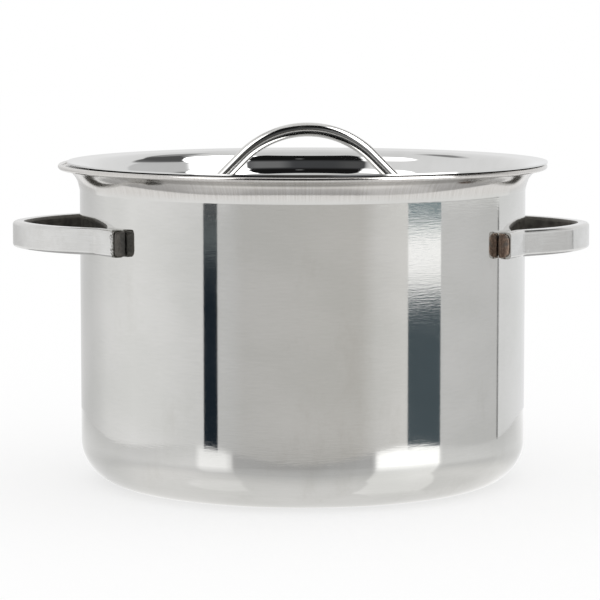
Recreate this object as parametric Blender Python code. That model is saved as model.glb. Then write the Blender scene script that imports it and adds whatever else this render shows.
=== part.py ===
"""Stock pot with a drop-in lid, as eleven separate pieces of stainless steel.

The pot is one deep-drawn shell with a large bottom radius, a flared mouth and a rolled rim. Two strap
handles are welded to its wall. The lid is a pressed dish that sinks into the mouth, and its handle is
one bent round rod that lies flat on the dish at both ends. Weld metal closes the end of every foot.

Frame: metres, +Z up. The origin is the centre of the flat base, on the surface that the pot stands on.
+X runs through the two side handles, and the right handle is the one at +X.
"""
import math

import bmesh
import bpy
from mathutils import Vector

MM = 0.001
GAP = 0.3 * MM                      # clearance between solids that touch on the real pot

# Pot shell
BODY_RADIUS = 120.0 * MM            # outside of the straight wall
BODY_SHEET = 1.0 * MM
BASE_CORNER_RADIUS = 23.4 * MM      # outside radius between base and wall
FLARE_START_Z = 157.7 * MM
FLARE_RADIUS = 12.0 * MM            # outside radius of the flared neck
FLARE_SWEEP = 77.0                  # degrees turned from the vertical wall towards the horizontal
BEAD_RADIUS = 1.3 * MM              # rolled rim

# Side handles: a strap bent in plan, symmetric about the X axis
STRAP_THICKNESS = 7.0 * MM
STRAP_HEIGHT = 14.0 * MM
STRAP_EDGE_RADIUS = 2.0 * MM
STRAP_REACH = 156.0 * MM            # pot axis to the outside of the grip
GRIP_RADIUS = 30.0 * MM             # bow of the grip, on the strap's centreline
GRIP_SWEEP = 17.6
SHOULDER_RADIUS = 78.0 * MM
LEG_HEADING = 146.0                 # plan direction where the leg meets the wall, degrees from +X
ROOT_BEND_RADIUS = 9.0 * MM         # reverse bend where the leg meets the wall
FOOT_END_ANGLE = 36.0               # degrees round the wall to the end of the foot
LEFT_HANDLE_Z = 134.2 * MM          # hand-set welds: the two straps differ by 2 mm
RIGHT_HANDLE_Z = 132.1 * MM

# Lid
LID_SHEET = 0.8 * MM
LID_RADIUS = 129.3 * MM
LID_EDGE_Z = 172.9 * MM             # top of the outer edge
LID_DEPTH = 17.3 * MM               # outer edge down to the floor of the dish
LID_BEND_RADIUS = 9.0 * MM          # both bends of the dish wall, on the upper face
LID_WALL_SLOPE = 75.0
LID_FLANGE_SLOPE = 8.0
LID_FLANGE_WIDTH = 6.0 * MM
LID_SHIFT_X = 2.6 * MM              # the lid lies off centre by part of its play in the mouth

# Lid handle
ROD_RADIUS = 3.75 * MM
ARCH_TOP_Z = 193.2 * MM             # top of the rod at the middle of the arch
ARCH_RADIUS = 49.2 * MM             # centreline
ARCH_SWEEP = 45.5                   # degrees from the top to each straight leg
ROD_FOOT_BEND = 10.0 * MM
ROD_FOOT_LENGTH = 14.0 * MM

# Weld metal
STRAP_WELD_REACH = 1.8 * MM
ROD_WELD_REACH = 3.0 * MM

TURN_STEPS = 56                     # facets round the turned pieces
ROD_SIDES = 12

# Derived places
LID_FLOOR_Z = LID_EDGE_Z - LID_DEPTH
ROD_FOOT_Z = LID_FLOOR_Z + GAP + ROD_RADIUS
STEEL_COLOURS = {
    "satin_steel": ((0.62, 0.62, 0.60, 1.0), 0.28),
    "polished_steel": ((0.68, 0.68, 0.67, 1.0), 0.12),
    "weld_metal": ((0.17, 0.13, 0.11, 1.0), 0.55),
}


def direction(degrees):
    """Unit vector in a drawing plane, turned anticlockwise from its first axis."""
    angle = math.radians(degrees)
    return Vector((math.cos(angle), math.sin(angle)))


def bent_path(start, heading, steps):
    """Stations (point, heading) along straight lines and arcs, as a bending machine makes them.

    A step is ("line", length) or ("arc", radius, sweep, pieces). A positive sweep turns left.
    """
    point = Vector(start)
    stations = [(point.copy(), heading)]
    for step in steps:
        if step[0] == "line":
            point = point + direction(heading) * step[1]
            stations.append((point.copy(), heading))
            continue
        _, radius, sweep, pieces = step
        side = math.copysign(1.0, sweep)
        centre = point + direction(heading + 90 * side) * radius
        for piece in range(1, pieces + 1):
            turned = heading + sweep * piece / pieces
            stations.append((centre - direction(turned + 90 * side) * radius, turned))
        point, heading = stations[-1][0].copy(), heading + sweep
    return stations


def faces_of_sheet(stations, thickness):
    """The two faces of a sheet about its middle surface: right-hand side first, then left-hand side."""
    right = [point + direction(heading - 90) * thickness / 2 for point, heading in stations]
    left = [point + direction(heading + 90) * thickness / 2 for point, heading in stations]
    return right, left


def steel(slot):
    """Principled material for one kind of steel surface."""
    material = bpy.data.materials.get(slot) or bpy.data.materials.new(slot)
    colour, roughness = STEEL_COLOURS[slot]
    material.use_nodes = True
    shader = material.node_tree.nodes["Principled BSDF"]
    shader.inputs["Base Color"].default_value = colour
    shader.inputs["Roughness"].default_value = roughness
    shader.inputs["Metallic"].default_value = 1.0
    return material


def add_object(name, bm, slot, origin=(0, 0, 0)):
    """Close a bmesh into a named object with outward faces, smooth shading and its own origin."""
    bmesh.ops.remove_doubles(bm, verts=bm.verts, dist=0.001 * MM)
    bmesh.ops.recalc_face_normals(bm, faces=bm.faces)
    bmesh.ops.translate(bm, verts=bm.verts, vec=-Vector(origin))
    mesh = bpy.data.meshes.new(name)
    bm.to_mesh(mesh)
    bm.free()
    mesh.shade_smooth()
    mesh.set_sharp_from_angle(angle=math.radians(40))
    mesh.materials.append(steel(slot))
    part = bpy.data.objects.new(name, mesh)
    part.location = origin
    bpy.context.scene.collection.objects.link(part)
    return part


def turned(name, profile, slot, axis_x=0.0):
    """Spin a profile of (radius, height) points, which starts and ends on the axis, about Z."""
    bm = bmesh.new()
    corners = [bm.verts.new((point.x + axis_x, 0.0, point.y)) for point in profile]
    edges = [bm.edges.new(pair) for pair in zip(corners, corners[1:])]
    bmesh.ops.spin(bm, geom=corners + edges, cent=(axis_x, 0, 0), axis=(0, 0, 1),
                   angle=2 * math.pi, steps=TURN_STEPS, use_merge=True)
    return add_object(name, bm, slot, (axis_x, 0, 0))


def skinned(name, rings, slot):
    """Join equal rings of points into one closed body with a cap at each end."""
    bm = bmesh.new()
    loops = [[bm.verts.new(point) for point in ring] for ring in rings]
    for near, far in zip(loops, loops[1:]):
        for i in range(len(near)):
            j = (i + 1) % len(near)
            bm.faces.new((near[i], near[j], far[j], far[i]))
    bm.faces.new(loops[0])
    bm.faces.new(loops[-1])
    return add_object(name, bm, slot)


def swept(name, stations, section, to_space, slot):
    """Carry a section of (across, beside) points along a path in a drawing plane."""
    rings = []
    for point, heading in stations:
        across = direction(heading - 90)
        ring = []
        for offset, beside in section:
            place = point + across * offset
            ring.append(to_space(place.x, place.y, beside))
        rings.append(ring)
    return skinned(name, rings, slot)


def rounded_rectangle(width, height, radius):
    """Section of a strap with rounded edges, three points to a corner."""
    points = []
    for quarter, (sx, sy) in enumerate(((1, 1), (-1, 1), (-1, -1), (1, -1))):
        centre = Vector((sx * (width / 2 - radius), sy * (height / 2 - radius)))
        points += [centre + direction(90 * quarter + turn) * radius for turn in (0, 45, 90)]
    return points


def circle(radius, sides):
    """Section of a round rod."""
    return [direction(360 * i / sides) * radius for i in range(sides)]


def pot_body():
    """Deep-drawn shell: flat base, large corner, straight wall, flared neck and rolled rim."""
    corner_mid = BASE_CORNER_RADIUS - BODY_SHEET / 2
    middle = bent_path((0, BODY_SHEET / 2), 0, [
        ("line", BODY_RADIUS - BASE_CORNER_RADIUS),
        ("arc", corner_mid, 90, 8),
        ("line", FLARE_START_Z - BASE_CORNER_RADIUS),
        ("arc", FLARE_RADIUS + BODY_SHEET / 2, -FLARE_SWEEP, 7),
    ])
    outside, inside = faces_of_sheet(middle, BODY_SHEET)
    end, heading = middle[-1]
    half_angle = math.degrees(math.asin(BODY_SHEET / 2 / BEAD_RADIUS))
    centre = end + direction(heading) * BEAD_RADIUS * math.cos(math.radians(half_angle))
    bead_steps = 9
    first = heading + 180 + half_angle
    sweep = 360 - 2 * half_angle
    bead = [centre + direction(first + sweep * i / bead_steps) * BEAD_RADIUS for i in range(1, bead_steps)]
    return turned("pot_body", outside + bead + inside[::-1], "satin_steel")


def lid_middle():
    """Middle surface of the lid: floor, bend, steep wall, bend and flange, with its edge on LID_RADIUS."""
    lower_mid = LID_BEND_RADIUS + LID_SHEET / 2
    upper_mid = LID_BEND_RADIUS - LID_SHEET / 2
    unturned = LID_WALL_SLOPE - LID_FLANGE_SLOPE

    def steps(floor, wall):
        return [
            ("line", floor),
            ("arc", lower_mid, LID_WALL_SLOPE, 7),
            ("line", wall),
            ("arc", upper_mid, -unturned, 7),
            ("line", LID_FLANGE_WIDTH),
        ]

    bends_only, _ = bent_path((0, 0), 0, steps(0, 0))[-1]
    edge_drop = LID_SHEET / 2 * (1 - math.cos(math.radians(LID_FLANGE_SLOPE)))
    wall = (LID_DEPTH + edge_drop - bends_only.y) / math.sin(math.radians(LID_WALL_SLOPE))
    no_floor, _ = bent_path((0, 0), 0, steps(0, wall))[-1]
    lip = LID_SHEET / 2 * math.sin(math.radians(LID_FLANGE_SLOPE))
    floor = LID_RADIUS - lip - no_floor.x
    return bent_path((0, LID_FLOOR_Z - LID_SHEET / 2), 0, steps(floor, wall))


def lid_panel():
    """Pressed dish that sinks into the mouth, with a flange that rests over the rim."""
    under, upper = faces_of_sheet(lid_middle(), LID_SHEET)
    return turned("lid_panel", under + upper[::-1], "polished_steel", LID_SHIFT_X)


def strap_half():
    """Centreline of one half of a side handle, from the middle of the grip to the end of a foot."""
    grip = [
        ("arc", GRIP_RADIUS, GRIP_SWEEP, 2),
        ("arc", SHOULDER_RADIUS, LEG_HEADING - 90 - GRIP_SWEEP, 5),
    ]
    start = (STRAP_REACH - STRAP_THICKNESS / 2, 0)
    shoulder, heading = bent_path(start, 90, grip)[-1]
    # The root bend is a circle that touches both the leg and the circle of the foot round the wall.
    foot_radius = BODY_RADIUS + GAP + STRAP_THICKNESS / 2
    leg_angle = heading - 90
    reach = foot_radius + ROOT_BEND_RADIUS
    lean = math.degrees(math.acos((shoulder.dot(direction(leg_angle)) + ROOT_BEND_RADIUS) / reach))
    root_angle = leg_angle - lean
    leg = (direction(root_angle) * reach - shoulder).dot(direction(heading))
    return bent_path(start, 90, grip + [
        ("line", leg),
        ("arc", ROOT_BEND_RADIUS, -lean, 3),
        ("arc", foot_radius, FOOT_END_ANGLE - root_angle, 2),
    ])


def side_handle(name, side, height):
    """One bent strap; side is +1 for the handle at +X and -1 for the one at -X."""
    half = strap_half()
    mirrored = [(Vector((point.x, -point.y)), 180 - heading) for point, heading in half[:0:-1]]
    section = rounded_rectangle(STRAP_THICKNESS, STRAP_HEIGHT, STRAP_EDGE_RADIUS)
    return swept(name, mirrored + half, section, lambda x, y, w: (side * x, y, height + w), "polished_steel")


def lid_handle():
    """One round rod: an arch, two straight legs and two feet that lie on the floor of the dish.

    Returns how far from the middle of the arch each foot ends.
    """
    crown = ARCH_TOP_Z - ROD_RADIUS
    arch = [("arc", ARCH_RADIUS, -ARCH_SWEEP, 6)]
    arch_end, _ = bent_path((0, crown), 0, arch)[-1]
    bend_drop = ROD_FOOT_BEND * (1 - math.cos(math.radians(ARCH_SWEEP)))
    leg = (arch_end.y - ROD_FOOT_Z - bend_drop) / math.sin(math.radians(ARCH_SWEEP))
    half = bent_path((0, crown), 0, arch + [
        ("line", leg),
        ("arc", ROD_FOOT_BEND, ARCH_SWEEP, 4),
        ("line", ROD_FOOT_LENGTH),
    ])
    mirrored = [(Vector((-point.x, point.y)), -heading) for point, heading in half[:0:-1]]
    swept("lid_handle", mirrored + half, circle(ROD_RADIUS, ROD_SIDES),
          lambda x, z, w: (x + LID_SHIFT_X, w, z), "polished_steel")
    return half[-1][0].x


def weld_bead(name, corner, up, along, height, reach, length):
    """Domed weld that closes a foot's end face.

    The corner is where the end face meets the surface below it; up leaves that surface and along
    leaves the end face. The bead is longest across both.
    """
    up, along = Vector(up), Vector(along)
    across = up.cross(along)
    slices, quarter = 6, 4
    rings = []
    for i in range(slices + 1):
        share = 2 * i / slices - 1
        swell = math.sqrt(1 - 0.85 * share * share)
        middle = Vector(corner) + across * share * length / 2
        ring = [middle]
        for step in range(quarter + 1):
            turn = direction(90 * step / quarter)
            ring.append(middle + (along * reach * turn.x + up * height * turn.y) * swell)
        rings.append(ring)
    return skinned(name, rings, "weld_metal")


def strap_welds(side_name, side, height):
    """The two welds at the feet of one side handle."""
    for end_name, end in (("front", -1), ("back", 1)):
        radial = direction(FOOT_END_ANGLE)
        up = Vector((side * radial.x, end * radial.y, 0))
        along = Vector((-side * radial.y, end * radial.x, 0))
        corner = up * (BODY_RADIUS + GAP) + along * GAP + Vector((0, 0, height))
        weld_bead(f"{side_name}_handle_weld_{end_name}", corner, up, along,
                  STRAP_THICKNESS - 2 * GAP, STRAP_WELD_REACH, STRAP_HEIGHT - 2 * GAP)


def rod_welds(foot_end):
    """The two welds at the feet of the lid handle."""
    for side_name, side in (("left", -1), ("right", 1)):
        corner = (LID_SHIFT_X + side * (foot_end + GAP), 0, LID_FLOOR_Z + GAP)
        weld_bead(f"lid_handle_weld_{side_name}", corner, (0, 0, 1), (side, 0, 0),
                  1.5 * ROD_RADIUS, ROD_WELD_REACH, 1.8 * ROD_RADIUS)


def build():
    for leftover in list(bpy.data.objects):
        bpy.data.objects.remove(leftover)
    pot_body()
    for side_name, side, height in (("left", -1, LEFT_HANDLE_Z), ("right", 1, RIGHT_HANDLE_Z)):
        side_handle(f"{side_name}_handle", side, height)
        strap_welds(side_name, side, height)
    lid_panel()
    rod_welds(lid_handle())


build()
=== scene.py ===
"""Looks of the stock pot: smooth turned and swept steel, with brushed, polished and heat-tinted finishes.

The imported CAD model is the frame. Each CAD node is replaced by a smooth piece of the same size, because
mirror-like steel shows every facet. The profiles follow the CAD's own driving dimensions, and the places
come from the CAD nodes' boxes.
"""
import math

import bmesh
import bpy
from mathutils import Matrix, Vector, noise


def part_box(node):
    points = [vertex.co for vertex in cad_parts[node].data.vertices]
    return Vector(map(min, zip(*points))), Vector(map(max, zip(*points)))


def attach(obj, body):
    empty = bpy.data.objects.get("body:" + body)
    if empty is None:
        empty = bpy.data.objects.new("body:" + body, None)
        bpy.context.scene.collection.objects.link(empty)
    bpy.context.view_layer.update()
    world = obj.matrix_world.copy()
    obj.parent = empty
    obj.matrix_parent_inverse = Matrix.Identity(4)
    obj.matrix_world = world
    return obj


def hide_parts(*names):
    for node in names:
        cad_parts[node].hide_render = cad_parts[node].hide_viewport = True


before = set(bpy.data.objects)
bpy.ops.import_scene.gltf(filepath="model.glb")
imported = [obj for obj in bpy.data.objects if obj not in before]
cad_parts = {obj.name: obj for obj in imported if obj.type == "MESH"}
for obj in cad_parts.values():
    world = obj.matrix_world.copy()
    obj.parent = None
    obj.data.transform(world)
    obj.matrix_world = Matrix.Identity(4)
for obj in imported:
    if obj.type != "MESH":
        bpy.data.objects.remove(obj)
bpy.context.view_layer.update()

MM = 0.001
GAP = 0.3 * MM

# ---------------------------------------------------------------- sizes, from the frame where it has them
lid_low, lid_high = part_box("lid_panel")
rod_low, rod_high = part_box("lid_handle")
strap_low, strap_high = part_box("right_handle")

BODY_RADIUS = 120.0 * MM
BODY_SHEET = 1.0 * MM
BASE_CORNER_RADIUS = 23.4 * MM
FLARE_START_Z = 157.7 * MM
FLARE_RADIUS = 12.0 * MM
FLARE_SWEEP = 77.0                  # degrees, as are all sweeps, slopes, headings and angles here
CREASE_RADIUS = 3.0 * MM            # the visible line at the foot of the flare
CREASE_SWEEP = 12.0
CREASE_DROP = 0.5 * MM              # how far it lies below the CAD's plain arc
BEAD_RADIUS = 1.3 * MM
RIM_RAISE = 0.14 * MM               # top of the rolled rim above the CAD's, to nearly meet the lid's edge

STRAP_THICKNESS = 7.0 * MM
STRAP_HEIGHT = strap_high.z - strap_low.z
STRAP_EDGE_RADIUS = 2.0 * MM
STRAP_REACH = strap_high.x
GRIP_RADIUS = 30.0 * MM
GRIP_SWEEP = 17.6
SHOULDER_RADIUS = 78.0 * MM
LEG_HEADING = 146.0
ROOT_BEND_RADIUS = 9.0 * MM
FOOT_END_ANGLE = 36.0
STRAP_START = (STRAP_REACH - STRAP_THICKNESS / 2, 0)
STRAP_GRIP = [
    ("arc", GRIP_RADIUS, GRIP_SWEEP),
    ("arc", SHOULDER_RADIUS, LEG_HEADING - 90 - GRIP_SWEEP),
]

LID_SHEET = 0.8 * MM
LID_RADIUS = (lid_high.x - lid_low.x) / 2
LID_SHIFT_X = (lid_high.x + lid_low.x) / 2
LID_EDGE_Z = lid_high.z
LID_FLOOR_Z = lid_low.z + LID_SHEET
LID_BEND_RADIUS = 9.0 * MM
LID_WALL_SLOPE = 75.0
LID_FLANGE_SLOPE = 8.0
LID_FLANGE_WIDTH = 6.0 * MM

ROD_RADIUS = (rod_high.y - rod_low.y) / 2
ARCH_TOP_Z = rod_high.z
ARCH_RADIUS = 49.2 * MM
ARCH_SWEEP = 45.5
ROD_FOOT_BEND = 10.0 * MM
ROD_FOOT_LENGTH = 14.0 * MM

STRAP_WELD_REACH = 1.8 * MM
WELD_SHAPES = {"left": (12, 2 * GAP), "right": (5, 3 * GAP)}    # fullness, and trim off the foot's size
ROD_WELD_REACH = 3.0 * MM
WELD_END = 0.08                     # height of a weld at its two ends, as a share of the middle

# Traces of making and use
BEND_LINE_PAST = 6.0 * MM           # press mark across each leg, this far in from where the leg starts
BEND_LINE_WIDTH = 1.3 * MM
BEND_LINE_DEPTH = 0.025 * MM
BEND_LINE_REACH = 4.5 * MM          # up and down from the middle of the strap
WELD_ROUGHNESS = 0.22 * MM          # height of the lumps in the weld metal
WELD_LUMPS = 900                    # lumps to a metre, and smaller ones among them
WELD_SMALL_LUMPS = 2100
WELD_CREST = 0.9                    # about the highest lump, which stays inside the CAD's weld
WELD_BULGE = 0.55                   # power of the bead's bulge: 1 would be round, and less is squarer
LEFT_TINT_REACH = 0.9 * MM          # heat tint on the strap beyond its foot: the left one was welded hotter
RIGHT_TINT_REACH = -2.6 * MM
SIDES_MEET = 10 * MM                # left and right finishes change within this of the pot's middle plane

# Fineness of the smooth pieces
TURN_STEPS = 256
ARC_STEP = 3.0                      # degrees of bend between stations
FLAT_INSET = 0.12 * MM              # extra station just inside each end of a flat, which keeps it flat
BEAD_PIECES = 32
CORNER_PIECES = 6
ROD_SIDES = 48
WELD_SLICES = 40
WELD_ROWS = 18
SHARP_ANGLE = 50                    # degrees between faces that makes their edge a sharp one
MERGE_DISTANCE = 0.001 * MM

# Camera: in front of the pot and a little above it, moved round slightly towards the left handle
CAMERA_DISTANCE = 1.620
CAMERA_HEIGHT = 0.2653
CAMERA_PITCH = 5.929                # degrees down from the horizontal
CAMERA_TURN = 4.1                   # degrees round the pot
CAMERA_SIDESTEP = 1.4 * MM
CAMERA_LENS = 180.3
SENSOR_WIDTH = 36.0

# Studio. Azimuths are degrees round the pot from the camera's side of it, positive to the camera's right.
SCREEN_RADIUS = 3.0                 # the screens stand this far from the pot
SCREEN_FOOT = -0.5                  # and reach from a little below the table
SCREEN_TOP = 0.0                    # up to its height, where the dome starts
FRONT_CARD = (-42.8, 53.7)
LEFT_GAP = (-50.3, FRONT_CARD[0])
RIGHT_GAP = (FRONT_CARD[1], 73.0)
RIGHT_CARD = (RIGHT_GAP[1], 116.8)
RIGHT_EDGE = (RIGHT_CARD[1], 118.4)
CARD_STEP = 1.0                     # degrees between the columns of a card
DOME_COLUMN_STEP = 1.5
DOME_ROW_STEP = 0.8
TABLE_HALF = 0.283                  # half the width of the white table that the steel reflects
TABLE_SQUARENESS = 3.5              # of its outline: 2 would be round, and more is squarer
TABLE_ROW_STEP = 0.04               # between its rings, as a share of the way from the middle to the edge
TABLE_SINK = 0.1 * MM               # the table and the floor lie this far under the pot
FLOOR_SINK = 0.05 * MM
FLOOR_HALF = 6.0
FLOOR_GLOW = 0.62                   # share of the floor's white that no shadow takes away

# ---------------------------------------------------------------- drawing with bends
def direction(degrees):
    """Unit vector in a drawing plane, turned anticlockwise from its first axis."""
    angle = math.radians(degrees)
    return Vector((math.cos(angle), math.sin(angle)))


def bent_path(start, heading, steps):
    """Stations (point, heading) along straight lines and arcs.

    A step is ("line", length, pieces) or ("arc", radius, sweep). A positive sweep turns left.
    """
    point = Vector(start)
    stations = [(point.copy(), heading)]
    for step in steps:
        if step[0] == "line":
            _, length, pieces = step
            ways = [length * piece / pieces for piece in range(1, pieces)]
            for way in [FLAT_INSET, *ways, length - FLAT_INSET, length]:
                stations.append((point + direction(heading) * way, heading))
        else:
            _, radius, sweep = step
            pieces = max(2, math.ceil(abs(sweep) / ARC_STEP))
            side = math.copysign(1.0, sweep)
            centre = point + direction(heading + 90 * side) * radius
            for piece in range(1, pieces + 1):
                turn = heading + sweep * piece / pieces
                stations.append((centre - direction(turn + 90 * side) * radius, turn))
            heading += sweep
        point = stations[-1][0].copy()
    return stations


def faces_of_sheet(stations, thickness):
    """The two faces of a sheet about its middle surface: right-hand side first, then left-hand side."""
    right = [point + direction(heading - 90) * thickness / 2 for point, heading in stations]
    left = [point + direction(heading + 90) * thickness / 2 for point, heading in stations]
    return right, left


# ---------------------------------------------------------------- making pieces
def add_piece(name, bm, material):
    """Close a bmesh into a shaded piece with outward faces."""
    bmesh.ops.remove_doubles(bm, verts=bm.verts, dist=MERGE_DISTANCE)
    bmesh.ops.recalc_face_normals(bm, faces=bm.faces)
    mesh = bpy.data.meshes.new(name)
    bm.to_mesh(mesh)
    bm.free()
    mesh.shade_smooth()
    mesh.set_sharp_from_angle(angle=math.radians(SHARP_ANGLE))
    mesh.materials.append(material)
    piece = bpy.data.objects.new(name, mesh)
    bpy.context.scene.collection.objects.link(piece)
    return piece


def turned(name, profile, material, axis_x=0.0):
    """Spin a profile of (radius, height) points, which starts and ends on the axis, about Z."""
    bm = bmesh.new()
    corners = [bm.verts.new((point.x + axis_x, 0.0, point.y)) for point in profile]
    edges = [bm.edges.new(pair) for pair in zip(corners, corners[1:])]
    bmesh.ops.spin(bm, geom=corners + edges, cent=(axis_x, 0, 0), axis=(0, 0, 1),
                   angle=2 * math.pi, steps=TURN_STEPS, use_merge=True)
    return add_piece(name, bm, material)


def skinned(name, rings, material):
    """Join equal rings of points into one closed body with a cap at each end."""
    bm = bmesh.new()
    loops = [[bm.verts.new(point) for point in ring] for ring in rings]
    for near, far in zip(loops, loops[1:]):
        for i in range(len(near)):
            j = (i + 1) % len(near)
            bm.faces.new((near[i], near[j], far[j], far[i]))
    bm.faces.new(loops[0])
    bm.faces.new(loops[-1])
    return add_piece(name, bm, material)


def swept(name, stations, section, to_space, material):
    """Carry a section of (across, beside) points along a path in a drawing plane."""
    rings = []
    for point, heading in stations:
        across = direction(heading - 90)
        ring = []
        for offset, beside in section:
            place = point + across * offset
            ring.append(to_space(place.x, place.y, beside))
        rings.append(ring)
    return skinned(name, rings, material)


def finish_inside(piece, looks_in, material):
    """Give the faces that look inwards another finish."""
    piece.data.materials.append(material)
    for face in piece.data.polygons:
        if looks_in(face.center, face.normal):
            face.material_index = 1


def rounded_rectangle(width, height, radius):
    """Section of a strap with rounded edges."""
    points = []
    for quarter, (sx, sy) in enumerate(((1, 1), (-1, 1), (-1, -1), (1, -1))):
        centre = Vector((sx * (width / 2 - radius), sy * (height / 2 - radius)))
        corner = [centre + direction(90 * quarter + 90 * i / CORNER_PIECES) * radius
                  for i in range(CORNER_PIECES + 1)]
        before = corner[0] - direction(90 * quarter + 90) * FLAT_INSET
        after = corner[-1] + direction(90 * quarter + 180) * FLAT_INSET
        points += [before, *corner, after]
    return points


# ---------------------------------------------------------------- materials
class Finish:
    """One metallic material and short ways to add nodes to it. A value is a number or a node's socket."""

    def __init__(self, name, metallic=1.0):
        self.material = bpy.data.materials.new(name)
        self.material.use_nodes = True
        self.tree = self.material.node_tree
        self.shader = self.tree.nodes["Principled BSDF"]
        self.shader.inputs["Metallic"].default_value = metallic
        place = self.tree.nodes.new("ShaderNodeTexCoord").outputs["Object"]
        split = self.tree.nodes.new("ShaderNodeSeparateXYZ")
        self.tree.links.new(place, split.inputs[0])
        self.place = place
        self.x, self.y, self.z = split.outputs

    def feed(self, socket, value):
        if isinstance(value, bpy.types.NodeSocket):
            self.tree.links.new(value, socket)
        else:
            socket.default_value = value

    def calc(self, operation, *values, clamp=False):
        """Result of one Math node."""
        made = self.tree.nodes.new("ShaderNodeMath")
        made.operation = operation
        made.use_clamp = clamp
        for socket, value in zip(made.inputs, values):
            self.feed(socket, value)
        return made.outputs[0]

    def vector(self, x, y, z):
        made = self.tree.nodes.new("ShaderNodeCombineXYZ")
        for socket, value in zip(made.inputs, (x, y, z)):
            self.feed(socket, value)
        return made.outputs[0]

    def scaled(self, x, y, z):
        """The place in the object, stretched along its axes."""
        return self.vector(self.calc("MULTIPLY", self.x, x), self.calc("MULTIPLY", self.y, y),
                           self.calc("MULTIPLY", self.z, z))

    def noise(self, where, scale=1.0, detail=2.0, roughness=0.5):
        made = self.tree.nodes.new("ShaderNodeTexNoise")
        self.feed(made.inputs["Vector"], where)
        made.inputs["Scale"].default_value = scale
        made.inputs["Detail"].default_value = detail
        made.inputs["Roughness"].default_value = roughness
        return made.outputs["Fac"]

    def between(self, value, low, high, to_low, to_high):
        """Map a range of values smoothly onto another."""
        made = self.tree.nodes.new("ShaderNodeMapRange")
        made.interpolation_type = "SMOOTHSTEP"
        for socket, number in zip(made.inputs, (value, low, high, to_low, to_high)):
            self.feed(socket, number)
        return made.outputs["Result"]

    def mix(self, share, first, second):
        """Blend two colours, each a triple or a socket."""
        made = self.tree.nodes.new("ShaderNodeMix")
        made.data_type = "RGBA"
        self.feed(made.inputs[0], share)
        for socket, colour in ((made.inputs[6], first), (made.inputs[7], second)):
            self.feed(socket, colour if isinstance(colour, bpy.types.NodeSocket) else (*colour, 1))
        return made.outputs[2]

    def bump(self, height, distance, base=None):
        """Normal with a relief of this depth, laid over another normal if there is one."""
        made = self.tree.nodes.new("ShaderNodeBump")
        made.inputs["Distance"].default_value = distance
        self.feed(made.inputs["Height"], height)
        if base is not None:
            self.feed(made.inputs["Normal"], base)
        return made.outputs["Normal"]

    def length(self, x, y):
        """Length of a flat vector."""
        square = self.calc("ADD", self.calc("MULTIPLY", x, x), self.calc("MULTIPLY", y, y))
        return self.calc("SQRT", square)

    def turned_place(self, around, along, axis_x=0.0):
        """Coordinates of a turned piece: around its axis, and along its profile from base to rim."""
        aside = self.calc("SUBTRACT", self.x, axis_x)
        radius = self.calc("MAXIMUM", self.length(aside, self.y), 0.1 * MM)
        return self.vector(self.calc("MULTIPLY", self.calc("DIVIDE", aside, radius), around),
                           self.calc("MULTIPLY", self.calc("DIVIDE", self.y, radius), around),
                           self.calc("MULTIPLY", self.calc("ADD", self.z, radius), along))

    def by_side(self, left, right):
        """One value on the left of the pot and another on the right."""
        return self.between(self.x, -SIDES_MEET, SIDES_MEET, left, right)

    def done(self, colour, roughness, normal):
        self.feed(self.shader.inputs["Base Color"], colour)
        self.feed(self.shader.inputs["Roughness"], roughness)
        self.feed(self.shader.inputs["Normal"], normal)
        return self.material


def satin_wall():
    """Outside of the pot: near-mirror with fine lines round it and smudges, and a flare brushed upwards."""
    steel = Finish("satin_steel_wall")
    on_flare = steel.between(steel.z, FLARE_START_Z - 0.5 * MM, FLARE_START_Z + 4.0 * MM, 0.0, 1.0)
    lines = steel.noise(steel.turned_place(17, 1250), detail=3.0, roughness=0.6)
    fine_lines = steel.noise(steel.turned_place(40, 5200), detail=1.0)
    upward = steel.noise(steel.turned_place(150, 26), detail=3.0, roughness=0.6)
    clouds = steel.noise(steel.turned_place(2.2, 26), detail=2.0)
    wall_tone = steel.between(steel.calc("MULTIPLY_ADD", lines, 0.35, clouds), 0.4, 0.95, 0.0, 1.0)
    wall_colour = steel.mix(wall_tone, (0.625, 0.625, 0.605), (0.69, 0.685, 0.67))
    smudges = steel.noise(steel.scaled(30, 30, 13), detail=5.0, roughness=0.7)
    wall_colour = steel.mix(steel.between(smudges, 0.52, 0.78, 0.0, 0.5), wall_colour, (0.56, 0.55, 0.52))
    flare_tone = steel.between(upward, 0.3, 0.7, 0.0, 1.0)
    flare_colour = steel.mix(flare_tone, (0.60, 0.58, 0.555), (0.67, 0.655, 0.635))
    wall_roughness = steel.between(steel.calc("ADD", fine_lines, clouds), 0.7, 1.3, 0.035, 0.065)
    roughness = steel.calc("MULTIPLY_ADD", on_flare, 0.10, wall_roughness)
    wall_normal = steel.bump(lines, 0.006 * MM)
    wall_normal = steel.bump(fine_lines, 0.0008 * MM, wall_normal)
    flare_height = steel.calc("MULTIPLY", upward, on_flare)
    normal = steel.bump(flare_height, 0.001 * MM, wall_normal)
    return steel.done(steel.mix(on_flare, wall_colour, flare_colour), roughness, normal)


def satin_inside():
    """Inside of the pot: duller satin with rings from polishing on a turntable."""
    steel = Finish("satin_steel_inside")
    rings = steel.noise(steel.turned_place(6, 1600), detail=3.0, roughness=0.6)
    clouds = steel.noise(steel.turned_place(2.0, 22), detail=2.0)
    tone = steel.between(steel.calc("MULTIPLY_ADD", rings, 0.5, clouds), 0.45, 1.05, 0.0, 1.0)
    colour = steel.mix(tone, (0.56, 0.56, 0.545), (0.66, 0.655, 0.64))
    return steel.done(colour, steel.between(clouds, 0.3, 0.7, 0.20, 0.30), steel.bump(rings, 0.012 * MM))


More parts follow.
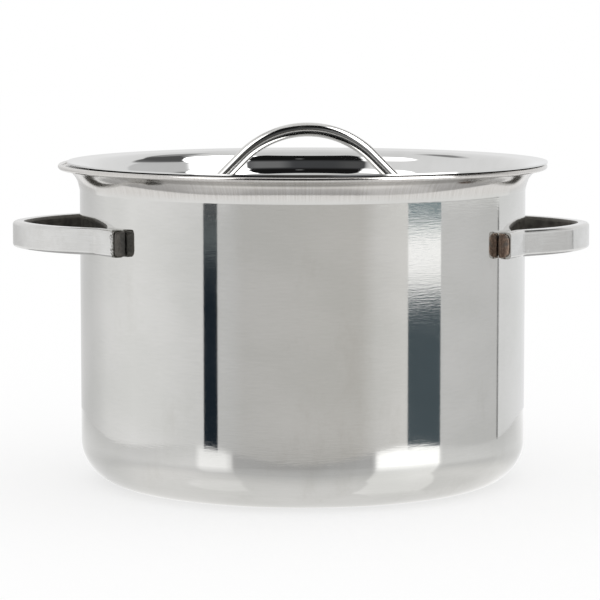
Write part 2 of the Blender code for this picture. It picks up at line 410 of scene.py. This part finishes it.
def polished_lid():
    """Lid: mirror polish with faint rings and a few dull smears."""
    steel = Finish("polished_steel_lid")
    rings = steel.noise(steel.turned_place(5, 900, LID_SHIFT_X), detail=2.0)
    smears = steel.noise(steel.place, scale=38, detail=3.0, roughness=0.6)
    tone = steel.between(smears, 0.35, 0.7, 0.0, 1.0)
    colour = steel.mix(tone, (0.71, 0.71, 0.705), (0.67, 0.67, 0.66))
    roughness = steel.between(smears, 0.45, 0.75, 0.025, 0.075)
    return steel.done(colour, roughness, steel.bump(rings, 0.0012 * MM))


def polished_strap():
    """Side handles: belt-polished lines, a press mark on each leg and heat tint by the welds."""
    steel = Finish("polished_steel_strap")
    lines = steel.noise(steel.scaled(90, 90, 1900), detail=3.0, roughness=0.6)
    waves = steel.noise(steel.scaled(55, 55, 60), detail=1.0)
    smears = steel.noise(steel.place, scale=70, detail=4.0, roughness=0.65)
    end = direction(FOOT_END_ANGLE) * (BODY_RADIUS + STRAP_THICKNESS / 2)
    across = steel.calc("SUBTRACT", steel.calc("ABSOLUTE", steel.x), end.x)
    beside = steel.calc("SUBTRACT", steel.calc("ABSOLUTE", steel.y), end.y)
    apart = steel.length(across, beside)
    ragged = steel.calc("MULTIPLY_ADD", steel.noise(steel.place, scale=900, detail=3.0), -5 * MM, apart)
    reach = steel.by_side(LEFT_TINT_REACH, RIGHT_TINT_REACH)
    tint = steel.between(steel.calc("SUBTRACT", ragged, reach), 0.0, 1.2 * MM, 1.0, 0.0)
    tint_colour = steel.mix(steel.by_side(0.0, 1.0), (0.13, 0.125, 0.11), (0.13, 0.105, 0.085))
    tone = steel.between(steel.calc("MULTIPLY_ADD", lines, 0.5, smears), 0.5, 1.0, 0.0, 1.0)
    clean = steel.mix(tone, (0.70, 0.70, 0.69), (0.63, 0.625, 0.61))
    colour = steel.mix(tint, clean, tint_colour)
    roughness = steel.calc("MULTIPLY_ADD", tint, 0.35, steel.between(smears, 0.35, 0.7, 0.07, 0.14))
    leg_start = bent_path(STRAP_START, 90, STRAP_GRIP)[-1][0]
    line_x = leg_start.x - BEND_LINE_PAST
    from_line = steel.calc("ABSOLUTE", steel.calc("SUBTRACT", steel.calc("ABSOLUTE", steel.x), line_x))
    groove = steel.between(from_line, 0.0, BEND_LINE_WIDTH / 2, -1.0, 0.0)
    right_low, right_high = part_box("right_handle")
    left_low, left_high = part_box("left_handle")
    strap_middle = steel.by_side((left_low.z + left_high.z) / 2, (right_low.z + right_high.z) / 2)
    from_middle = steel.calc("ABSOLUTE", steel.calc("SUBTRACT", steel.z, strap_middle))
    within = steel.between(from_middle, BEND_LINE_REACH - MM, BEND_LINE_REACH, 1.0, 0.0)
    groove = steel.calc("MULTIPLY", groove, within)
    normal = steel.bump(waves, 0.02 * MM)
    normal = steel.bump(groove, BEND_LINE_DEPTH, normal)
    return steel.done(colour, roughness, steel.bump(lines, 0.003 * MM, normal))


def strap_inside_painted_shade():
    """Inner face of the side handles: left as rolled and dull, and painted dark as shade for the dark that
    this face mirrors.
    """
    steel = Finish("steel_strap_inside_painted_shade")
    scale = steel.noise(steel.place, scale=160, detail=4.0, roughness=0.6)
    lines = steel.noise(steel.scaled(60, 60, 1500), detail=2.0)
    tone = steel.between(scale, 0.35, 0.65, 0.0, 1.0)
    # painted shade: this dark colour stands in for the dark reflection on the inner face, with a random
    # mottle
    colour = steel.mix(tone, (0.115, 0.11, 0.10), (0.175, 0.165, 0.15))
    return steel.done(colour, steel.between(scale, 0.3, 0.7, 0.42, 0.55), steel.bump(lines, 0.01 * MM))


def polished_rod():
    """Lid handle: polished rod with the fine grain of drawn bar."""
    steel = Finish("polished_steel_rod")
    grain = steel.noise(steel.place, scale=1100, detail=3.0, roughness=0.6)
    waves = steel.noise(steel.place, scale=90, detail=1.0)
    tone = steel.between(grain, 0.35, 0.65, 0.0, 1.0)
    colour = steel.mix(tone, (0.72, 0.715, 0.70), (0.64, 0.63, 0.61))
    normal = steel.bump(grain, 0.003 * MM, steel.bump(waves, 0.02 * MM))
    return steel.done(colour, steel.between(grain, 0.3, 0.7, 0.05, 0.11), normal)


def weld_brown():
    """Weld metal: rough and scaly, brown on the right handle and scorched grey on the left one."""
    steel = Finish("weld_metal_brown", metallic=0.85)
    lumps = steel.noise(steel.place, scale=700, detail=4.0, roughness=0.65)
    patches = steel.noise(steel.place, scale=230, detail=3.0)
    streaks = steel.noise(steel.scaled(900, 900, 160), detail=3.0)
    streak_tone = steel.between(streaks, 0.35, 0.65, 0.0, 1.0)
    brown = steel.mix(streak_tone, (0.33, 0.24, 0.185), (0.15, 0.105, 0.08))
    scorched = steel.by_side(0.9, 0.0)
    greyed = steel.calc("ADD", steel.between(patches, 0.5, 0.75, 0.0, 1.0), scorched, clamp=True)
    colour = steel.mix(greyed, brown, (0.13, 0.127, 0.118))
    normal = steel.bump(lumps, 0.5 * MM)
    return steel.done(colour, steel.between(lumps, 0.3, 0.7, 0.38, 0.62), normal)


wall_steel = satin_wall()
inside_steel = satin_inside()
lid_steel = polished_lid()
strap_steel = polished_strap()
strap_inside_shade_steel = strap_inside_painted_shade()
rod_steel = polished_rod()
weld_steel = weld_brown()


# ---------------------------------------------------------------- the pot
def flare_steps():
    """The flare opens with a crease, then a short cone, and ends where a plain arc would."""
    plain = FLARE_RADIUS + BODY_SHEET / 2
    turn, whole = math.radians(CREASE_SWEEP), math.radians(FLARE_SWEEP)
    out = plain * (1 - math.cos(whole)) - CREASE_RADIUS * (1 - math.cos(turn))
    up = plain * math.sin(whole) + CREASE_DROP - CREASE_RADIUS * math.sin(turn)
    # The last arc's radius and the cone's length satisfy
    # out = radius * out_share + cone * sin(turn) and up = radius * up_share + cone * cos(turn).
    out_share = math.cos(turn) - math.cos(whole)
    up_share = math.sin(whole) - math.sin(turn)
    rise = out * math.cos(turn) - up * math.sin(turn)
    radius = rise / (out_share * math.cos(turn) - up_share * math.sin(turn))
    cone = (out - radius * out_share) / math.sin(turn)
    return [
        ("arc", CREASE_RADIUS, -CREASE_SWEEP),
        ("line", cone, 3),
        ("arc", radius, CREASE_SWEEP - FLARE_SWEEP),
    ]


def pot_shell():
    """Drawn shell with its flared neck and rolled rim."""
    middle = bent_path((0, BODY_SHEET / 2), 0, [
        ("line", BODY_RADIUS - BASE_CORNER_RADIUS, 6),
        ("arc", BASE_CORNER_RADIUS - BODY_SHEET / 2, 90),
        ("line", FLARE_START_Z - CREASE_DROP - BASE_CORNER_RADIUS, 8),
    ] + flare_steps())
    outside, inside = faces_of_sheet(middle, BODY_SHEET)
    end, heading = middle[-1]
    half_angle = math.degrees(math.asin(BODY_SHEET / 2 / BEAD_RADIUS))
    centre = end + direction(heading) * BEAD_RADIUS * math.cos(math.radians(half_angle))
    # The bead is fuller than the CAD's inwards and upwards, and its outer edge and foot stay in place.
    snug = BEAD_RADIUS + RIM_RAISE / 2
    centre = centre + Vector((BEAD_RADIUS - snug, snug - BEAD_RADIUS))
    first = heading + 180 + half_angle
    sweep = 360 - 2 * half_angle
    bead = [centre + direction(first + sweep * i / BEAD_PIECES) * snug for i in range(1, BEAD_PIECES)]
    shell = turned("pot_shell", outside + bead + inside[::-1], wall_steel)
    rim_start = centre.x - 2 * BEAD_RADIUS

    def looks_in(place, normal):
        outward = Vector((place.x, place.y, 0))
        faces_in = normal.z > 0.01 or normal.dot(outward) < 0
        return faces_in and outward.length < rim_start and place.z > BODY_SHEET / 2

    finish_inside(shell, looks_in, inside_steel)
    return shell


def strap_half():
    """Centreline of one half of a side handle, from the middle of the grip to the end of a foot."""
    shoulder, heading = bent_path(STRAP_START, 90, STRAP_GRIP)[-1]
    foot_radius = BODY_RADIUS + GAP + STRAP_THICKNESS / 2
    leg_angle = heading - 90
    reach = foot_radius + ROOT_BEND_RADIUS
    lean = math.degrees(math.acos((shoulder.dot(direction(leg_angle)) + ROOT_BEND_RADIUS) / reach))
    root_angle = leg_angle - lean
    leg = (direction(root_angle) * reach - shoulder).dot(direction(heading))
    return bent_path(STRAP_START, 90, STRAP_GRIP + [
        ("line", leg, 2),
        ("arc", ROOT_BEND_RADIUS, -lean),
        ("arc", foot_radius, FOOT_END_ANGLE - root_angle),
    ])


def side_handle(side_name, side):
    """One strap and its two welds; side is +1 for the handle at +X and -1 for the one at -X."""
    low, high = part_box(f"{side_name}_handle")
    height = (low.z + high.z) / 2
    half = strap_half()
    mirrored = [(Vector((point.x, -point.y)), 180 - heading) for point, heading in half[:0:-1]]
    section = rounded_rectangle(STRAP_THICKNESS, STRAP_HEIGHT, STRAP_EDGE_RADIUS)
    piece = swept(f"{side_name}_strap", mirrored + half, section,
                  lambda x, y, w: (side * x, y, height + w), strap_steel)
    middle = Vector((side * (BODY_RADIUS + STRAP_REACH) / 2, 0, height))

    def looks_in(place, normal):
        inward = middle - place
        inward.z = 0
        return abs(normal.z) < 0.8 and normal.dot(inward) > 0.25 * inward.length

    # the inner faces get the dull steel that is painted dark as shade
    finish_inside(piece, looks_in, strap_inside_shade_steel)
    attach(piece, "pot")
    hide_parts(f"{side_name}_handle")
    strap_welds(side_name, side, height)


def strap_welds(side_name, side, height):
    """The two welds at the feet of one side handle."""
    fullness, trim = WELD_SHAPES[side_name]
    for end_name, end in (("front", -1), ("back", 1)):
        radial = direction(FOOT_END_ANGLE)
        up = Vector((side * radial.x, end * radial.y, 0))
        along = Vector((-side * radial.y, end * radial.x, 0))
        corner = up * (BODY_RADIUS + GAP) + along * GAP + Vector((0, 0, height))
        bead = weld_bead(f"{side_name}_weld_{end_name}", corner, up, along, STRAP_THICKNESS - trim,
                         STRAP_WELD_REACH, STRAP_HEIGHT - 1.3 * trim, fullness)
        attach(bead, "pot")
        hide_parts(f"{side_name}_handle_weld_{end_name}")


def weld_bead(name, corner, up, along, height, reach, length, fullness=4):
    """Weld that closes a foot's end face: a lumpy pillow, squarer with more fullness.

    The corner is where the end face meets the surface below it; up leaves that surface and along
    leaves the end face. The bead is longest across both.
    """
    across = up.cross(along)
    rings = []
    for i in range(WELD_SLICES + 1):
        share = 2 * i / WELD_SLICES - 1
        swell = (1 - abs(share) ** fullness) ** 0.5 * (1 - WELD_END) + WELD_END
        middle = corner + across * share * length / 2
        ring = [middle, middle + up * height * swell]
        for step in range(1, WELD_ROWS):
            turn = direction(90 - 180 * step / WELD_ROWS)
            lift = (0.5 + 0.5 * turn.y) * swell * height + (1 - swell) * height * 0.1
            bulge = reach * max(0.0, turn.x) ** WELD_BULGE * swell
            spot = middle + up * lift + along * bulge
            lump = noise.noise(spot * WELD_LUMPS) + 0.5 * noise.noise(spot * WELD_SMALL_LUMPS)
            room = min(1.0, bulge / reach)
            ring.append(spot + along * (lump - WELD_CREST) * WELD_ROUGHNESS * room)
        rings.append(ring)
    return skinned(name, rings, weld_steel)


# ---------------------------------------------------------------- the lid
def lid_middle():
    """Middle surface of the lid: floor, bend, steep wall, bend and flange."""
    lower_mid = LID_BEND_RADIUS + LID_SHEET / 2
    upper_mid = LID_BEND_RADIUS - LID_SHEET / 2
    unturned = LID_WALL_SLOPE - LID_FLANGE_SLOPE

    def steps(floor, wall):
        return [
            ("line", floor, 6),
            ("arc", lower_mid, LID_WALL_SLOPE),
            ("line", wall, 2),
            ("arc", upper_mid, -unturned),
            ("line", LID_FLANGE_WIDTH, 3),
        ]

    depth = LID_EDGE_Z - LID_FLOOR_Z
    bends_only, _ = bent_path((0, 0), 0, steps(0, 0))[-1]
    edge_drop = LID_SHEET / 2 * (1 - math.cos(math.radians(LID_FLANGE_SLOPE)))
    wall = (depth + edge_drop - bends_only.y) / math.sin(math.radians(LID_WALL_SLOPE))
    no_floor, _ = bent_path((0, 0), 0, steps(0, wall))[-1]
    lip = LID_SHEET / 2 * math.sin(math.radians(LID_FLANGE_SLOPE))
    floor = LID_RADIUS - lip - no_floor.x
    return bent_path((0, LID_FLOOR_Z - LID_SHEET / 2), 0, steps(floor, wall))


def lid_pressing():
    """Pressed dish that sinks into the mouth, with a flange that rests over the rim."""
    under, upper = faces_of_sheet(lid_middle(), LID_SHEET)
    piece = turned("lid_pressing", under + upper[::-1], lid_steel, LID_SHIFT_X)
    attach(piece, "lid")
    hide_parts("lid_panel")


def lid_rod():
    """One round rod: an arch, two straight legs and two feet that lie on the floor of the dish."""
    foot_z = LID_FLOOR_Z + GAP + ROD_RADIUS
    crown = ARCH_TOP_Z - ROD_RADIUS
    arch = [("arc", ARCH_RADIUS, -ARCH_SWEEP)]
    arch_end, _ = bent_path((0, crown), 0, arch)[-1]
    bend_drop = ROD_FOOT_BEND * (1 - math.cos(math.radians(ARCH_SWEEP)))
    leg = (arch_end.y - foot_z - bend_drop) / math.sin(math.radians(ARCH_SWEEP))
    half = bent_path((0, crown), 0, arch + [
        ("line", leg, 4),
        ("arc", ROD_FOOT_BEND, ARCH_SWEEP),
        ("line", ROD_FOOT_LENGTH, 3),
    ])
    mirrored = [(Vector((-point.x, point.y)), -heading) for point, heading in half[:0:-1]]
    section = [direction(360 * i / ROD_SIDES) * ROD_RADIUS for i in range(ROD_SIDES)]
    piece = swept("lid_rod", mirrored + half, section,
                  lambda x, z, w: (x + LID_SHIFT_X, w, z), rod_steel)
    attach(piece, "lid")
    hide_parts("lid_handle")
    foot_end = half[-1][0].x
    for side_name, side in (("left", -1), ("right", 1)):
        corner = Vector((LID_SHIFT_X + side * (foot_end + GAP), 0, LID_FLOOR_Z + GAP))
        bead = weld_bead(f"lid_weld_{side_name}", corner, Vector((0, 0, 1)), Vector((side, 0, 0)),
                         1.5 * ROD_RADIUS, ROD_WELD_REACH, 1.8 * ROD_RADIUS)
        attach(bead, "lid")
        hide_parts(f"lid_handle_weld_{side_name}")


# ---------------------------------------------------------------- camera and studio
def camera():
    data = bpy.data.cameras.new("camera")
    data.lens = CAMERA_LENS
    data.sensor_width = SENSOR_WIDTH
    data.clip_end = 100.0
    eye = bpy.data.objects.new("camera", data)
    turn, pitch = math.radians(CAMERA_TURN), math.radians(CAMERA_PITCH)
    ahead = Vector((math.sin(turn), math.cos(turn), 0))
    right = Vector((math.cos(turn), -math.sin(turn), 0))
    eye.location = -ahead * CAMERA_DISTANCE - right * CAMERA_SIDESTEP + Vector((0, 0, CAMERA_HEIGHT))
    eye.rotation_euler = (math.pi / 2 - pitch, 0, -turn)
    bpy.context.scene.collection.objects.link(eye)
    bpy.context.scene.camera = eye


def studio_direction(azimuth, elevation=0.0):
    """Unit vector at an azimuth from the camera's side of the pot, positive to the camera's right."""
    turn, flat, up = math.radians(CAMERA_TURN), math.radians(azimuth), math.radians(elevation)
    ahead = Vector((math.sin(turn), math.cos(turn), 0))
    right = Vector((math.cos(turn), -math.sin(turn), 0))
    level = right * math.sin(flat) - ahead * math.cos(flat)
    return level * math.cos(up) + Vector((0, 0, math.sin(up)))


def glow(name):
    """Emission in the colour that a mesh stores at its points."""
    material = bpy.data.materials.new(name)
    material.use_nodes = True
    tree = material.node_tree
    tree.nodes.clear()
    tone = tree.nodes.new("ShaderNodeAttribute")
    tone.attribute_name = "tone"
    light = tree.nodes.new("ShaderNodeEmission")
    surface = tree.nodes.new("ShaderNodeOutputMaterial")
    tree.links.new(tone.outputs["Color"], light.inputs["Color"])
    tree.links.new(light.outputs[0], surface.inputs[0])
    return material


def stage_sheet(name, columns, rows, place, tone, material):
    """A grid of studio screen, seen only in the steel's reflections."""
    bm = bmesh.new()
    grid = [[bm.verts.new(place(column, row)) for row in rows] for column in columns]
    for near, far in zip(grid, grid[1:]):
        for i in range(len(rows) - 1):
            bm.faces.new((near[i], near[i + 1], far[i + 1], far[i]))
    bm.verts.index_update()
    mesh = bpy.data.meshes.new(name)
    bm.to_mesh(mesh)
    bm.free()
    colours = mesh.color_attributes.new("tone", "FLOAT_COLOR", "POINT")
    for index, (column, row) in enumerate((column, row) for column in columns for row in rows):
        colours.data[index].color = (*tone(column, row), 1)
    mesh.materials.append(material)
    screen = bpy.data.objects.new(name, mesh)
    screen.visible_camera = False
    screen.visible_diffuse = False
    screen.visible_shadow = False
    bpy.context.scene.collection.objects.link(screen)


def steps_between(low, high, widest):
    """Equal steps from low to high, none wider than the widest."""
    pieces = max(1, math.ceil((high - low) / widest - 1e-6))
    return [low + (high - low) * i / pieces for i in range(pieces + 1)]


def blend_stops(stops, value):
    """Colour at a value, from (value, colour) stops in rising order."""
    if value <= stops[0][0]:
        return stops[0][1]
    for (low, first), (high, second) in zip(stops, stops[1:]):
        if value <= high:
            share = (value - low) / (high - low)
            return tuple(a + (b - a) * share for a, b in zip(first, second))
    return stops[-1][1]


def upright_screen(name, azimuths, heights, stops, material, shading=((0, (1, 1, 1)),), corner=(0, 0),
                   radius=SCREEN_RADIUS):
    """Part of a cylinder round the pot.

    Stops give its colour from left to right, shading what that is multiplied by from low to high, and
    corner how many degrees and metres the top right corner is rounded by.
    """
    low, high = heights
    sweep, drop = corner

    def place(azimuth, share):
        into = max(0.0, azimuth - (azimuths[1] - sweep)) / sweep if sweep else 0.0
        top = high - drop * (1 - math.sqrt(max(0.0, 1 - into * into)))
        return studio_direction(azimuth) * radius + Vector((0, 0, low + (top - low) * share))

    def tone(azimuth, share):
        factors = blend_stops(shading, low + (high - low) * share)
        return tuple(a * b for a, b in zip(blend_stops(stops, azimuth), factors))

    breaks = {(height - low) / (high - low) for height, _ in shading if low < height < high}
    shares = sorted({0.0, 1.0} | breaks)
    stage_sheet(name, steps_between(*azimuths, CARD_STEP), shares, place, tone, material)


class Patch:
    """A bright or dark patch of the dome with rounded corners and a soft edge, all in degrees.

    The outline is (elevation, left azimuth, right azimuth) from low to high, and the stops give its
    colour by elevation.
    """

    def __init__(self, outline, stops, soft=2.0, rounding=6.0):
        self.edges = [(elevation, (left, right)) for elevation, left, right in outline]
        self.stops = stops
        self.soft = soft
        self.rounding = rounding

    def cover(self, azimuth, elevation):
        """How much of this direction the patch takes: 1 inside, 0 outside."""
        low, high = self.edges[0][0], self.edges[-1][0]
        if not low - self.soft < elevation < high + self.soft:
            return 0.0
        left, right = blend_stops(self.edges, elevation)
        middle = (left + right) / 2
        turned_by = (azimuth - middle + 180) % 360 - 180
        beside = (right - left) / 2 - abs(turned_by)
        above = min(elevation - low, high - elevation)
        corner = (max(0.0, self.rounding - beside), max(0.0, self.rounding - above))
        inside = self.rounding - math.hypot(*corner)
        return min(1.0, max(0.0, inside / self.soft + 0.5))


def dome(name, base, patches, material):
    """Dome over the pot: base gives its colour by azimuth and elevation, and patches are laid over it."""
    def place(azimuth, elevation):
        return studio_direction(azimuth, elevation) * SCREEN_RADIUS

    def tone(azimuth, elevation):
        colour = base(azimuth, elevation)
        for patch in patches:
            share = patch.cover(azimuth, elevation)
            if share:
                laid = blend_stops(patch.stops, elevation)
                colour = tuple(a + (b - a) * share for a, b in zip(colour, laid))
        return colour

    columns = steps_between(-180, 180, DOME_COLUMN_STEP)
    stage_sheet(name, columns, steps_between(0, 90, DOME_ROW_STEP), place, tone, material)


def grey(level, warmth=0.0):
    """A grey tone, a little warmer or cooler."""
    return (level * (1 + warmth), level, level * (1 - 1.6 * warmth))


# Brightness of what stands round the pot beyond the cards, by azimuth
SURROUND = [
    (-242, 0.92), (-235, 0.90), (-215, 0.92), (-200, 0.90), (-180, 0.83), (-165, 0.76), (-152, 0.72),
    (-138, 0.74), (-128, 0.81), (-118, 0.92), (-95, 1.0), (-75, 0.95), (-60, 0.88), (-50, 0.85),
    (50, 0.85), (118, 0.92), (125, 0.90), (145, 0.92), (160, 0.90), (180, 0.84),
]


def surround(azimuth):
    """Colour beyond the cards, a little cooler on the right and behind it."""
    stops = []
    for at, level in SURROUND:
        cooler = at > 100 or at < -190
        stops.append((at, grey(level, -0.006 if cooler else 0.0)))
    return blend_stops(stops, azimuth)


def cards(tones):
    """Cards and the gaps between them, which the wall mirrors as upright bands."""
    heights = (SCREEN_FOOT, SCREEN_TOP)
    upright_screen("card_front", FRONT_CARD, heights,
                   [(FRONT_CARD[0], grey(0.73)), (-36, grey(0.70)), (-29, grey(0.65, 0.01)),
                    (29, grey(0.66, 0.02)), (37, grey(0.78, 0.01)), (FRONT_CARD[1], grey(0.86, 0.01))],
                   tones, shading=[(-0.46, (0.82, 0.82, 0.82)), (-0.40, (1, 1, 1))])
    upright_screen("card_gap_left", LEFT_GAP, heights, [(LEFT_GAP[0], (1, 1, 1))], tones,
                   shading=[(-0.16, (0.014, 0.022, 0.031)), (-0.125, (0.05, 0.06, 0.07)),
                            (-0.115, (0.15, 0.17, 0.18)), (-0.08, (0.13, 0.15, 0.155)),
                            (-0.066, (0.06, 0.065, 0.07)), (SCREEN_TOP, (0.045, 0.05, 0.055))])
    upright_screen("card_gap_right", RIGHT_GAP, heights, [(RIGHT_GAP[0], (1, 1, 1))], tones,
                   shading=[(-0.198, (0.085, 0.112, 0.128)), (-0.186, (0.35, 0.38, 0.40)),
                            (-0.175, grey(1.2)), (-0.10, grey(1.4)), (-0.084, grey(1.35)),
                            (-0.0835, (0.28, 0.35, 0.37)), (SCREEN_TOP, (0.26, 0.33, 0.35))])
    # The right card is lower than its neighbours, with a dark edge and a brighter screen behind it.
    upright_screen("card_right", RIGHT_CARD, (SCREEN_FOOT, -0.046),
                   [(RIGHT_CARD[0], grey(0.745)), (100, grey(0.715)), (RIGHT_CARD[1], grey(0.70))],
                   tones, corner=(7, 0.014))
    upright_screen("card_right_edge", RIGHT_EDGE, (SCREEN_FOOT, -0.062),
                   [(RIGHT_EDGE[0], grey(0.3))], tones)
    upright_screen("card_right_back", RIGHT_CARD, (-0.06, SCREEN_TOP),
                   [(RIGHT_CARD[0], grey(0.95))], tones, radius=1.01 * SCREEN_RADIUS)
    start, end = RIGHT_EDGE[1] - 360, LEFT_GAP[0]
    turns = [start, *(at for at, _ in SURROUND if start < at < end), end]
    upright_screen("card_surround", (start + 360, end + 360), heights,
                   [(at + 360, surround(at)) for at in turns], tones)


def open_sky(azimuth, elevation):
    """The dome without its patches: the surround's colour low down, and a plain pale grey above."""
    high = blend_stops([(18, grey(0.92)), (58, grey(0.90)), (66, grey(0.86)), (76, grey(0.80))],
                       elevation)
    share = min(1.0, elevation / 18)
    return tuple(a + (b - a) * share for a, b in zip(surround(azimuth), high))


def soft_boxes(tones):
    """Lights and dark areas above the pot, which the lid, the rod and the flare mirror."""
    right_board = Patch([(12, 75, 121), (33, 75, 121)], [(12, grey(0.70)), (33, grey(0.66))], soft=2.5)
    right_dark = Patch([(34, 80, 131), (44, 80, 139), (47, 84, 160), (56, 100, 158), (59, 108, 148)],
                       [(34, grey(0.3)), (38, grey(0.19)), (43, grey(0.11)), (60, grey(0.11))], soft=5.0)
    right_dark_end = Patch([(46, 146, 164), (58, 138, 158)], [(46, grey(0.38))], soft=6.0)
    back_left_dark = Patch([(47, -160, -134), (51, -158, -132), (58, -152, -134)],
                           [(47, grey(0.30))], soft=5.0)
    left_light = Patch([(37, -64, -30), (48, -80, -34), (58, -84, -38), (65, -75, -42)],
                       [(37, grey(1.6)), (48, grey(3.0))], soft=3.0)
    low_left_light = Patch([(-6, -54, -30), (20, -54, -30)], [(0, grey(1.7))], soft=3.0)
    right_light = Patch([(-6, 30, 73), (28, 30, 73), (40, 30, 84), (50, 30, 96), (58, 30, 112),
                         (66, 34, 110), (72, 45, 100)],
                        [(0, grey(2.7)), (20, grey(2.7)), (35, grey(4.0)), (66, grey(4.0))], soft=1.6)
    # The camera's side of the studio, seen in the lid's far wall and the front of the rod
    front_dark = Patch([(-6, -35, 36), (40, -35.5, 37), (46, -38, 41), (55, -41, 44), (61, -45, 48),
                        (70, -54, 56), (77, -66, 68)],
                       [(0, grey(0.07, 0.06)), (14, grey(0.08, 0.04)), (20, grey(0.10)),
                        (26, grey(0.085, -0.03)), (34, grey(0.06, -0.03)), (42, grey(0.022)),
                        (46, grey(0.011)), (76, grey(0.011))],
                       soft=1.6, rounding=5.0)
    front_right_haze = Patch([(-6, 12, 35), (34, 12, 35.5)],
                             [(0, grey(0.09)), (18, grey(0.28, -0.02)), (34, grey(0.17))], soft=8.0)
    front_left_haze = Patch([(-6, -35, -20), (34, -35, -20)],
                            [(0, grey(0.09)), (20, grey(0.13, -0.02)), (34, grey(0.08))], soft=8.0)
    small_light = Patch([(49, 3, 8), (52.5, 3, 8)], [(49, grey(0.30))], soft=1.5, rounding=1.5)
    patches = [right_board, right_dark, right_dark_end, back_left_dark, left_light, low_left_light,
               right_light, front_dark, front_right_haze, front_left_haze, small_light]
    dome("studio_dome", open_sky, patches, tones)


def table():
    """Glossy white table under the pot, as the steel reflects it: a square with well rounded corners."""
    def place(azimuth, share):
        angle = math.radians(azimuth)
        powers = [abs(side) ** TABLE_SQUARENESS for side in (math.sin(angle), math.cos(angle))]
        bulk = sum(powers) ** (1 / TABLE_SQUARENESS)
        return studio_direction(azimuth) * share * TABLE_HALF / bulk - Vector((0, 0, TABLE_SINK))

    def tone(azimuth, share):
        front = blend_stops([(0.43, grey(0.87, 0.005)), (0.47, grey(0.78, 0.005)), (0.55, grey(0.62)),
                             (0.96, grey(0.46)), (1, grey(0.44))], share)
        aside = blend_stops([(0.43, grey(0.68)), (0.50, grey(0.58)), (0.96, grey(0.37)),
                             (1, grey(0.36))], share)
        behind = blend_stops([(0.43, grey(0.68)), (0.55, grey(0.62)), (0.8, grey(0.62)),
                              (1, grey(0.66))], share)
        turned_aside = blend_stops([(-75, (1.0,)), (-50, (0.0,)), (75, (0.0,)), (100, (1.0,))], azimuth)[0]
        turned_back = blend_stops([(-155, (1.0,)), (-130, (0.0,)), (118, (0.0,)), (145, (1.0,))], azimuth)[0]
        level = tuple(a + (b - a) * turned_aside for a, b in zip(front, aside))
        return tuple(a + (b - a) * turned_back for a, b in zip(level, behind))

    material = bpy.data.materials.new("studio_table")
    material.use_nodes = True
    tree = material.node_tree
    gloss = tree.nodes["Principled BSDF"]
    gloss.inputs["Base Color"].default_value = (0, 0, 0, 1)
    gloss.inputs["Roughness"].default_value = 0.05
    gloss.inputs["IOR"].default_value = 1.5
    gloss.inputs["Emission Strength"].default_value = 1.0
    tones = tree.nodes.new("ShaderNodeAttribute")
    tones.attribute_name = "tone"
    tree.links.new(tones.outputs["Color"], gloss.inputs["Emission Color"])
    columns = steps_between(-180, 180, DOME_COLUMN_STEP)
    stage_sheet("table_reflected", columns, steps_between(0, 1, TABLE_ROW_STEP), place, tone, material)


def floor():
    """Plain pale floor, which takes a faint shadow."""
    material = bpy.data.materials.new("studio_floor")
    material.use_nodes = True
    shader = material.node_tree.nodes["Principled BSDF"]
    shader.inputs["Base Color"].default_value = (1 - FLOOR_GLOW, 1 - FLOOR_GLOW, 1 - FLOOR_GLOW, 1)
    shader.inputs["Roughness"].default_value = 1.0
    shader.inputs["Specular IOR Level"].default_value = 0.0
    shader.inputs["Emission Color"].default_value = (1, 1, 1, 1)
    shader.inputs["Emission Strength"].default_value = FLOOR_GLOW
    bm = bmesh.new()
    bmesh.ops.create_grid(bm, x_segments=1, y_segments=1, size=FLOOR_HALF)
    mesh = bpy.data.meshes.new("floor")
    bm.to_mesh(mesh)
    bm.free()
    mesh.materials.append(material)
    ground = bpy.data.objects.new("floor", mesh)
    ground.location.z = -FLOOR_SINK
    ground.visible_glossy = False
    bpy.context.scene.collection.objects.link(ground)


def studio():
    """White all round, with the screens, dome and table that the steel mirrors, and the floor."""
    scene = bpy.context.scene
    scene.view_settings.view_transform = "Standard"
    world = bpy.data.worlds.new("studio")
    world.use_nodes = True
    world.node_tree.nodes["Background"].inputs["Color"].default_value = (1, 1, 1, 1)
    scene.world = world
    tones = glow("studio_screen")
    cards(tones)
    soft_boxes(tones)
    table()
    floor()


shell = pot_shell()
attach(shell, "pot")
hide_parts("pot_body")
side_handle("left", -1)
side_handle("right", 1)
lid_pressing()
lid_rod()
camera()
studio()
